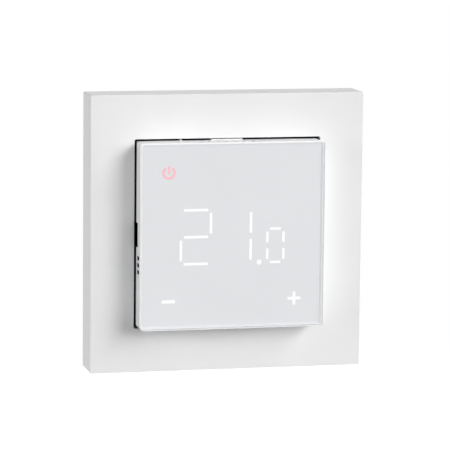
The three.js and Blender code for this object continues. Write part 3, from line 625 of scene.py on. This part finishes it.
def board_lamps():
    """White light-emitting diodes on the display board, one under each segment of the digits."""
    half, height, sunk = 0.45, 0.72, 0.01
    board = box_of("display_board")[0].y
    cases = bmesh.new()
    for middle, width, tall in DIGITS:
        side, reach = (width - DIGIT_BAR) / 2, (tall - DIGIT_BAR) / 2
        centre = DIGIT_BASELINE + tall / 2
        spots = [(0, reach), (0, 0), (0, -reach)]
        spots += [(a * side, b * reach / 2) for a in (-1, 1) for b in (-1, 1)]
        for x, z in spots:
            add_box(cases, (middle + x - half, board - sunk, centre + z - half),
                    (middle + x + half, board + height, centre + z + half))
    piece_of(cases, "lamp_cases", "front_unit", "print_white", edge=0.06)


# ---- Display ----

CONTACT = 0.02  # how far the ink enters the panel's back, and the lit shapes the ink
INK_FRONT = PANEL[1].y - CONTACT
LIT_FRONT = INK_FRONT - CONTACT
LIT_BACK = INK_FRONT + CONTACT
INK_CORNER = 0.6
EDGE_CORNER = 0.5

DIGIT_BAR = 1.0  # a segment's width as the digits are laid out
DIGIT_BASELINE = -8.8
DIGITS = ((-10.9, 10, 17), (1.2, 10, 17), (13.2, 5.9, 11))  # middle, width and height
LARGE_STROKE = 0.75
SMALL_STROKE = 0.7
LEVEL_GAP = 0.7
UPRIGHT_GAP = 1.8
BAR_CORNER = 0.18
POINT_PLACE = (8.3, -8.25)
POINT_RADIUS = 0.75
KEY_X = 19.1
POWER_Z = 18.85
SIGN_Z = -19.35
MINUS_SIZE = (4.0, 0.95)
PLUS_ARM = 0.43
PLUS_HALF = 1.97


def ink():
    """The printed layer on the panel's back."""
    mesh = bmesh.new()
    size = PRINT[1] - PRINT[0]
    add_prism(mesh, rounded_outline(0, 0, size.x, size.z, INK_CORNER), INK_FRONT, PRINT[1].y)
    piece_of(mesh, "panel_ink", "front_unit", "print_white", ["panel_print"])


def inked_edge():
    """The panel's back edge is bevelled, and the bevel is inked too."""
    bevel = 0.25
    margin, gap = 0.1, 0.01  # the distances to the panel's outside and to the print's front
    inside, outside = PRINT[1].x * 2, PANEL[1].x * 2 - margin
    bevel_front, back = INK_FRONT - bevel, PRINT[0].y - gap
    inner = rounded_outline(0, 0, inside, inside, EDGE_CORNER)
    outer = rounded_outline(0, 0, outside, outside, EDGE_CORNER)
    loops = ((outer, bevel_front), (inner, INK_FRONT), (inner, back), (outer, back))
    mesh = bmesh.new()
    add_tube(mesh, [[(x, y, z) for x, z in outline] for outline, y in loops], closed=True)
    piece_of(mesh, "inked_edge", "front_unit", "print_white")


def add_lit(mesh, outline):
    """Adds a lit shape in the ink's front."""
    add_prism(mesh, outline, LIT_FRONT, LIT_BACK)


def add_bar(mesh, x, z, width, height):
    """Adds a lit bar with rounded corners."""
    add_lit(mesh, rounded_outline(x, z, width, height, BAR_CORNER, steps=3))


def digit(name, place, stroke, lit_segments):
    """Lit bars of a seven-segment digit, lettered a to f clockwise from the top, with g in the middle."""
    middle, width, height = place
    side = (width - DIGIT_BAR) / 2
    reach = (height - DIGIT_BAR) / 2
    centre = DIGIT_BASELINE + height / 2
    level = (width - 2 * DIGIT_BAR - LEVEL_GAP, stroke)
    upright = (stroke, reach - UPRIGHT_GAP)
    places = {
        "a": (0, reach, *level), "g": (0, 0, *level), "d": (0, -reach, *level),
        "b": (side, reach / 2, *upright), "c": (side, -reach / 2, *upright),
        "f": (-side, reach / 2, *upright), "e": (-side, -reach / 2, *upright),
    }
    mesh = bmesh.new()
    for segment in lit_segments:
        x, z, bar_width, bar_height = places[segment]
        add_bar(mesh, middle + x, centre + z, bar_width, bar_height)
    piece_of(mesh, name, "front_unit", "lit_white")


def decimal_point():
    """The round point between the units and the tenths."""
    mesh = bmesh.new()
    add_lit(mesh, circle(*POINT_PLACE, POINT_RADIUS, steps=24))
    piece_of(mesh, "lit_point", "front_unit", "lit_white")


def plus_and_minus():
    """The two signs under the digits."""
    mesh = bmesh.new()
    add_bar(mesh, -KEY_X, SIGN_Z, *MINUS_SIZE)
    piece_of(mesh, "lit_minus", "front_unit", "lit_white")
    mesh = bmesh.new()
    arm, half = PLUS_ARM, PLUS_HALF
    corners = [(arm, -half), (arm, -arm), (half, -arm), (half, arm), (arm, arm), (arm, half)]
    corners += [(-x, -z) for x, z in corners]
    add_lit(mesh, [(KEY_X + x, SIGN_Z + z) for x, z in corners])
    piece_of(mesh, "lit_plus", "front_unit", "lit_white")


def power_sign():
    """A ring open at the top, with an upright bar in the opening."""
    outside, stroke, opening, steps = 2.0, 0.72, math.radians(36), 32
    bar_rise, bar_length = 0.9, 2.3
    angles = [math.pi / 2 + opening + i * (2 * math.pi - 2 * opening) / steps for i in range(steps + 1)]
    ring = [(outside * math.cos(a), outside * math.sin(a)) for a in angles]
    ring += [((outside - stroke) * math.cos(a), (outside - stroke) * math.sin(a)) for a in reversed(angles)]
    mesh = bmesh.new()
    add_lit(mesh, [(x - KEY_X, z + POWER_Z) for x, z in ring])
    add_bar(mesh, -KEY_X, POWER_Z + bar_rise, stroke, bar_length)
    piece_of(mesh, "lit_power", "front_unit", "lit_red")


def display():
    """The print and everything that is lit in it."""
    ink()
    inked_edge()
    digit("lit_tens", DIGITS[0], LARGE_STROKE, "abged")
    digit("lit_units", DIGITS[1], LARGE_STROKE, "bc")
    digit("lit_tenths", DIGITS[2], SMALL_STROKE, "abcdef")
    decimal_point()
    plus_and_minus()
    power_sign()


# ---- Cover frame ----

RIB_FRONT = -10.1
RIB_BACK = -4.0
RIB_PLACES = (-22, -8, 8, 22)
RIB_HALF = 0.45
OPENING_WALL_OUTSIDE = 29.55
FRAME_WALL_INSIDE = 39.4
RING_BACK = -6.0
RING_OUTSIDE = 70.4
RING_INSIDE = 68.0
RING_CORNER = 1.5
RIB_EDGE = 0.08


def frame_ribs():
    """Moulded ribs that stiffen the hollow of the frame, and a ring that joins them."""
    mesh = bmesh.new()
    for place in RIB_PLACES:
        four_sides(mesh, (OPENING_WALL_OUTSIDE, RIB_FRONT, place - RIB_HALF),
                   (FRAME_WALL_INSIDE, RIB_BACK, place + RIB_HALF))
    piece_of(mesh, "frame_ribs", "cover_frame", "frame_plastic", edge=RIB_EDGE)
    mesh = bmesh.new()
    loops = ((RING_OUTSIDE, RIB_FRONT), (RING_OUTSIDE, RING_BACK), (RING_INSIDE, RING_BACK),
             (RING_INSIDE, RIB_FRONT))
    add_tube(mesh, [[(x, y, z) for x, z in rounded_outline(0, 0, size, size, RING_CORNER)]
                    for size, y in loops], closed=True)
    piece_of(mesh, "frame_rib_ring", "cover_frame", "frame_plastic", edge=RIB_EDGE)


# ---- Screws ----

RECESS_DEPTH = 0.6  # the cross recess, as shares of the head's height and radius
RECESS_SPAN = 1.15
RECESS_WIDTH = 0.3
SKIRT_SHARE = 0.35  # the straight part of a pan head, as a share of its height
DOME_ANGLES = (12, 30, 48, 66, 80, 90)
CORE_SHARE = 0.68
OVERLAP = 0.05  # how far the parts of a screw reach into each other
SCREW_EDGE = 0.04


def cross_cutter(x, z, top, depth, span, width):
    """The two arms of a cross recess, which taper towards its bottom. The top is towards the front."""
    arms = []
    for long_x, long_z in ((span, width), (width, span)):
        arm = bmesh.new()
        add_tapered(arm, x, z, [(long_x * share / 2, long_z * share / 2, y)
                                for share, y in ((1.1, top - 0.3), (1.0, top), (0.5, top + depth))])
        arms.append(arm)
    return arms


def pan_screw(node, head_radius, head_height, thread_radius, pitch):
    """A pan-head screw with a cross recess, its head towards the front."""
    low, high = box_of(node)
    x, z = (low.x + high.x) / 2, (low.z + high.z) / 2
    under = low.y + head_height
    skirt, dome = SKIRT_SHARE * head_height, (1 - SKIRT_SHARE) * head_height
    profile = [(head_radius * math.sin(a), under - skirt - dome * math.cos(a))
               for a in (math.radians(degrees) for degrees in DOME_ANGLES)]
    head = bmesh.new()
    add_turned(head, x, z, [*profile, (head_radius, under)], steps=48)
    mesh = carved(head, *cross_cutter(x, z, low.y, head_height * RECESS_DEPTH, head_radius * RECESS_SPAN,
                                      head_radius * RECESS_WIDTH))
    thread_back = high.y - 2 * thread_radius
    add_thread(mesh, x, z, thread_radius, under - OVERLAP, thread_back, pitch)
    core = thread_radius * CORE_SHARE
    tip = [(core, thread_back - OVERLAP), (core * 0.9, high.y - 0.5), (core * 0.5, high.y)]
    add_turned(mesh, x, z, tip, steps=20)
    piece_of(mesh, "turned_" + node, "rear_unit", "zinc_steel", [node], edge=SCREW_EDGE)


def screws():
    """The screws of the wall box and of the front deck."""
    for side in ("left", "right"):
        pan_screw("box_screw_" + side, head_radius=3, head_height=2.1, thread_radius=1.45, pitch=0.8)
        pan_screw("deck_screw_" + side, head_radius=1.9, head_height=1.4, thread_radius=0.85, pitch=0.7)


# ---- Mounting plate ----

PLATE = box_of("mounting_plate")
PLATE_THICKNESS = 1.0
PLATE_CHAMFER = 4
DECK_OPENING = (23.3, 9)  # half of its width, and its chamfer
SLOT_PLACE = 30
SLOT_SIZE = (3.9, 10)
SLOT_CORNER = 1.949
HOLE_PLACE = 28
HOLE_RADIUS = 1.7
SLIT_PLACE = (30, 16)
SLIT_SIZE = (1.6, 5)
SLIT_CORNER = 0.6
TAB_THICKNESS = 0.9
TAB_SUNK = 0.1
TAB_HALF = 12


def mounting_plate():
    """A stamped plate with four slots, four holes, four slits, an opening and a bent tab on each side."""
    half, back = PLATE[1].x, PLATE[1].y
    front = back - PLATE_THICKNESS
    through = (front - 1, back + 1)
    base, opening, holes = (bmesh.new() for _ in range(3))
    add_prism(base, chamfered_outline(half, PLATE_CHAMFER), front, back)
    add_prism(opening, chamfered_outline(*DECK_OPENING), *through)
    slit_x, slit_z = SLIT_PLACE
    for side in (-1, 1):
        place = side * SLOT_PLACE
        add_prism(holes, rounded_outline(place, 0, *SLOT_SIZE, SLOT_CORNER, steps=8), *through)
        add_prism(holes, rounded_outline(0, place, *SLOT_SIZE[::-1], SLOT_CORNER, steps=8), *through)
        for other in (-1, 1):
            add_prism(holes, circle(side * HOLE_PLACE, other * HOLE_PLACE, HOLE_RADIUS, steps=28), *through)
            slit = rounded_outline(side * slit_x, other * slit_z, *SLIT_SIZE, SLIT_CORNER)
            add_prism(holes, slit, *through)
    plate = carved(base, opening, holes)
    four_sides(plate, (half - TAB_THICKNESS, PLATE[0].y, -TAB_HALF), (half, front + TAB_SUNK, TAB_HALF))
    piece_of(plate, "stamped_plate", "rear_unit", "zinc_steel", ["mounting_plate"], edge=0.1)


# ---- Terminals ----

BLOCK = box_of("terminal_block")
BLOCK_FACE = BLOCK[1].y - 0.15  # the ribs between the terminals stand on it
TERMINAL_COUNT = 6
TERMINAL_PITCH = 6.2
TERMINAL_Z = -16.3
TERMINAL_PLACES = [(i - (TERMINAL_COUNT - 1) / 2) * TERMINAL_PITCH for i in range(TERMINAL_COUNT)]
NUMBER_SIZE = 2.3
NUMBER_HALF_DEPTH = 0.07
NUMBER_Z = -12.75


def terminal_block():
    """A block with a round well, a clamp's room and a funnelled wire entry for each terminal."""
    low, high = BLOCK
    past = 1  # how far the cutters reach past the block
    room_half, room_tall, room_back = 2.5, 3.3, 19.9
    contact_half, contact_back = 1.5, 16.5
    contact_rise = (3.2, 5.1)
    well_front = 19.5
    entry_half, entry_deep, entry_middle, entry_rise = 1.8, 1.5, 13.9, -3
    flare, flare_depth = 0.6, 1.2
    base, rooms, contacts, wells, entries, funnels = (bmesh.new() for _ in range(6))
    add_box(base, low, (high.x, BLOCK_FACE, high.z))
    for x in TERMINAL_PLACES:
        add_box(rooms, (x - room_half, low.y - past, TERMINAL_Z - room_tall),
                (x + room_half, room_back, TERMINAL_Z + room_tall))
        add_box(contacts, (x - contact_half, low.y - past, TERMINAL_Z + contact_rise[0]),
                (x + contact_half, contact_back, TERMINAL_Z + contact_rise[1]))
        well = [(2.5, well_front), (2.5, BLOCK_FACE - 0.4), (2.9, BLOCK_FACE), (3.0, BLOCK_FACE + past)]
        add_turned(wells, x, TERMINAL_Z, well, steps=48)
        add_box(entries, (x - entry_half, entry_middle - entry_deep, low.z - past),
                (x + entry_half, entry_middle + entry_deep, TERMINAL_Z + entry_rise))
        ends = ((flare, low.z - 0.1), (0, low.z + flare_depth))
        add_tube(funnels, [[(x + a * (entry_half + wider), entry_middle + b * (entry_deep + wider), z)
                            for a, b in CORNERS] for wider, z in ends])
    mesh = carved(base, rooms, contacts, wells, entries, funnels)
    piece_of(mesh, "moulded_block", "rear_unit", "terminal_plastic", ["terminal_block"], edge=0.12)


def block_ribs():
    """Low ribs on the block's face, between the terminals."""
    low, high = BLOCK
    half, inset, sunk = 0.3, 0.3, 0.1
    mesh = bmesh.new()
    for place in TERMINAL_PLACES[:-1]:
        x = place + TERMINAL_PITCH / 2
        add_box(mesh, (x - half, BLOCK_FACE - sunk, low.z + inset), (x + half, high.y, high.z - inset))
    piece_of(mesh, "block_ribs", "rear_unit", "terminal_plastic", edge=0.08)


def terminal_numbers():
    """Black numbers above the terminals, which read from behind."""
    for i, x in enumerate(TERMINAL_PLACES):
        letter = bpy.data.curves.new("number", "FONT")
        letter.body = str(i + 1)
        letter.size = NUMBER_SIZE
        letter.align_x = "CENTER"
        letter.extrude = NUMBER_HALF_DEPTH
        placed = bpy.data.objects.new("number", letter)
        SCENE.collection.objects.link(placed)
        shape = bpy.data.meshes.new_from_object(placed)
        mesh = bmesh.new()
        mesh.from_mesh(shape)
        bpy.data.objects.remove(placed)
        bpy.data.curves.remove(letter)
        bpy.data.meshes.remove(shape)
        y = BLOCK[1].y - NUMBER_HALF_DEPTH
        turn = Matrix(((-1, 0, 0, x), (0, 0, 1, y), (0, 1, 0, NUMBER_Z), (0, 0, 0, 1)))
        bmesh.ops.transform(mesh, matrix=turn, verts=mesh.verts)
        bmesh.ops.remove_doubles(mesh, verts=mesh.verts, dist=WELD_DISTANCE)
        piece_of(mesh, f"number_{i + 1}", "rear_unit", "black_plastic")


def terminal_screws():
    """Slotted screws with their heads towards the back."""
    head_height, head_radius = 1.6, 2.1
    slot_depth, slot_half, slot_reach = 0.9, 0.3, 3
    thread_radius, thread_pitch = 1.4, 0.5
    for i in range(1, TERMINAL_COUNT + 1):
        node = f"terminal_screw_{i}"
        low, high = box_of(node)
        x, z = (low.x + high.x) / 2, (low.z + high.z) / 2
        head_front = high.y - head_height
        profile = [(head_radius, head_front), (head_radius, high.y - 0.35),
                   (head_radius - 0.15, high.y - 0.1), (head_radius - 0.5, high.y)]
        head, slot = bmesh.new(), bmesh.new()
        add_turned(head, x, z, profile, steps=44)
        add_box(slot, (x - slot_reach, high.y - slot_depth, z - slot_half),
                (x + slot_reach, high.y + 1, z + slot_half))
        mesh = carved(head, slot)
        add_thread(mesh, x, z, thread_radius, low.y, head_front + OVERLAP, thread_pitch)
        piece_of(mesh, f"slotted_screw_{i}", node, "zinc_steel", [node], edge=SCREW_EDGE)


# ---- Power board ----

def capacitor():
    """A black sleeve with a groove and rolled edges, and a metal top that is scored with three lines."""
    low, high = box_of("main_capacitor")
    x, z, radius = (low.x + high.x) / 2, (low.z + high.z) / 2, (high.x - low.x) / 2
    edge, groove = 0.4, 0.35
    sleeve = bmesh.new()
    add_turned(sleeve, x, z, [
        (radius - edge, low.y), (radius, low.y + edge), (radius, low.y + 1.3), (radius - groove, low.y + 1.6),
        (radius - groove, low.y + 1.9), (radius, low.y + 2.2), (radius, high.y - 0.5),
        (radius - edge, high.y - 0.1),
    ], steps=48)
    piece_of(sleeve, "capacitor_sleeve", "rear_unit", "black_plastic", ["main_capacitor"])
    top, score = bmesh.new(), bmesh.new()
    top_radius, top_thickness = radius - 0.6, 0.4
    add_turned(top, x, z, [(top_radius, high.y - top_thickness), (top_radius, high.y)], steps=48)
    half, reach = 0.12, 2.6
    bottom, above = high.y - 0.1, high.y + 1
    add_box(score, (x - reach, bottom, z - half), (x + reach, above, z + half))
    add_box(score, (x - half, bottom, z + half), (x + half, above, z + reach))
    add_box(score, (x - half, bottom, z - reach), (x + half, above, z - half))
    piece_of(carved(top, score), "capacitor_top", "rear_unit", "zinc_steel")


def varistor():
    """A lacquered disc on two wires."""
    low, high = box_of("varistor")
    centre, half, radius = (low + high) / 2, (high.z - low.z) / 2, (high.x - low.x) / 2
    disc = bmesh.new()
    swell = ((0.6, -1.0), (0.9, -0.94), (1.0, -0.6), (1.0, 0.6), (0.9, 0.94), (0.6, 1.0))
    add_turned(disc, 0, 0, [(radius * share, half * rise) for share, rise in swell])
    laid_along(disc, "X", centre)
    piece_of(disc, "varistor_disc", "rear_unit", "varistor_blue", ["varistor"])
    lead, spread, stagger = 0.35, 2.5, 0.6
    board_side, disc_side = 3.0, low.y + 1.5
    leads = bmesh.new()
    for side in (-1, 1):
        add_turned(leads, centre.x + side * spread, centre.z + side * stagger,
                   [(lead, board_side), (lead, disc_side)], steps=12)
    piece_of(leads, "varistor_leads", "rear_unit", "zinc_steel")


def fuse():
    """A glass fuse with a wire and two caps, in two brass clips."""
    low, high = box_of("fuse")
    centre, half, radius = (low + high) / 2, (high.x - low.x) / 2, (high.y - low.y) / 2
    glass_radius, wire_radius = radius * 0.8, 0.08
    cap_edge, cap_length = 0.3, 1.5
    caps, glass, wire, clips = (bmesh.new() for _ in range(4))
    for side in (-1, 1):
        add_turned(caps, 0, 0, [(glass_radius, side * half), (radius, side * (half - cap_edge)),
                                (radius, side * (half - cap_length))], steps=32)
    add_turned(glass, 0, 0, [(glass_radius, -half + 1.4), (glass_radius, half - 1.4)], steps=32)
    add_turned(wire, 0, 0, [(wire_radius, -half + 1), (wire_radius, half - 1)], steps=8)
    clip_half, clip_gap, wall_half = 0.6, 0.25, 0.2
    clip_front, clip_back = 4.0, centre.y + 1.2
    for side in (-1, 1):
        end = centre.x + side * (half - cap_length / 2)
        for edge in (-1, 1):
            wall = centre.z + edge * (radius + clip_gap)
            add_box(clips, (end - clip_half, clip_front, wall - wall_half),
                    (end + clip_half, clip_back, wall + wall_half))
    piece_of(clips, "fuse_clips", "rear_unit", "brass", edge=0.08)
    for mesh, name, slot, replaced in ((caps, "fuse_caps", "zinc_steel", ["fuse"]),
                                       (glass, "fuse_glass", "panel_clear", ()),
                                       (wire, "fuse_wire", "copper_wire", ())):
        laid_along(mesh, "Z", centre)
        piece_of(mesh, name, "rear_unit", slot, replaced)


# ---- Stage, in metres ----

def floor():
    """A white floor below the device, out to the horizon. The back light comes up through it."""
    half, drop, glow = 3.0, 0.6, 0.7
    level = cad_box[0].z - drop
    mesh = bmesh.new()
    mesh.faces.new([mesh.verts.new((a * half, b * half, level)) for a, b in CORNERS])
    data = bpy.data.meshes.new("floor")
    mesh.to_mesh(data)
    mesh.free()
    plane = bpy.data.objects.new("floor", data)
    SCENE.collection.objects.link(plane)
    finish = Finish("pale_floor")
    finish.set(Roughness=0.8, Emission_Color=WHITE, Emission_Strength=glow)
    finish.link(finish.ramp(finish.noise(4, detail=2), 0.88, 0.92), "Base Color")
    data.materials.append(finish.material)
    plane.visible_diffuse = False
    plane.visible_shadow = False


def facing(azimuth, elevation):
    """The direction from the device towards a light or camera, in degrees. Azimuth 0 is in front."""
    a, e = math.radians(azimuth), math.radians(elevation)
    return Vector((math.sin(a) * math.cos(e), -math.cos(a) * math.cos(e), math.sin(e)))


def sun(name, azimuth, elevation, strength, spread):
    """A light from far away, which is softer the wider its spread is in degrees."""
    light = bpy.data.lights.new(name, "SUN")
    light.energy = strength
    light.angle = math.radians(spread)
    placed = bpy.data.objects.new(name, light)
    placed.rotation_mode = "QUATERNION"
    placed.rotation_quaternion = (-facing(azimuth, elevation)).to_track_quat("-Z", "Y")
    SCENE.collection.objects.link(placed)


SURROUND = 0.16  # the strength of the white surroundings as light


def surroundings():
    """White surroundings, full strength where they are seen or mirrored and weaker as light."""
    world = bpy.data.worlds.new("studio")
    SCENE.world = world
    world.use_nodes = True
    tree = world.node_tree
    path = tree.nodes.new("ShaderNodeLightPath")
    seen = math_node(tree, "MAXIMUM", path.outputs["Is Camera Ray"], path.outputs["Is Glossy Ray"])
    strength = tree.nodes.new("ShaderNodeMapRange")
    strength.inputs["To Min"].default_value = SURROUND
    strength.inputs["To Max"].default_value = 1.0
    tree.links.new(seen, strength.inputs["Value"])
    background = tree.nodes["Background"]
    background.inputs["Color"].default_value = WHITE
    tree.links.new(strength.outputs["Result"], background.inputs["Strength"])


def lights():
    """Soft lights from in front, both sides and behind."""
    sun("key_light", azimuth=35, elevation=18, strength=1.85, spread=30)
    sun("high_light", azimuth=55, elevation=36, strength=0.97, spread=25)
    sun("right_light", azimuth=75, elevation=5, strength=0.65, spread=25)
    sun("left_light", azimuth=-79, elevation=8, strength=1.25, spread=30)
    sun("back_light", azimuth=180, elevation=-30, strength=1.5, spread=20)


CAMERA_ANGLES = (-13.249, 8.261)  # azimuth and elevation, in degrees
CAMERA_ROLL = 0.566
CAMERA_TARGET = (-0.247, -10, 1.895)  # in millimetres, as the distance is
CAMERA_DISTANCE = 843.3
LENS = 226.9
SENSOR = 36
CLIP = (0.01, 20)


def camera():
    """The camera, level but for a slight roll, to the left of the device and a little above it."""
    roll = math.radians(CAMERA_ROLL)
    target = Vector(CAMERA_TARGET) * MM
    back = facing(*CAMERA_ANGLES)
    right = (-back).cross(Vector((0, 0, 1))).normalized()
    up = right.cross(-back)
    axes = Matrix((
        right * math.cos(roll) + up * math.sin(roll),
        up * math.cos(roll) - right * math.sin(roll),
        back,
    )).transposed().to_4x4()
    data = bpy.data.cameras.new("camera")
    data.lens = LENS
    data.sensor_width = SENSOR
    data.clip_start, data.clip_end = CLIP
    placed = bpy.data.objects.new("camera", data)
    placed.matrix_world = Matrix.Translation(target + back * CAMERA_DISTANCE * MM) @ axes
    SCENE.collection.objects.link(placed)
    SCENE.camera = placed


# ---- Making ----

camera()
dress_cad_nodes()
painted_shade_skirt()
painted_shade_linings()
touch_springs()
pin_header()
board_lamps()
display()
frame_ribs()
screws()
mounting_plate()
terminal_block()
block_ribs()
terminal_numbers()
terminal_screws()
capacitor()
varistor()
fuse()
floor()
surroundings()
lights()
SCENE.view_settings.view_transform = "Standard"
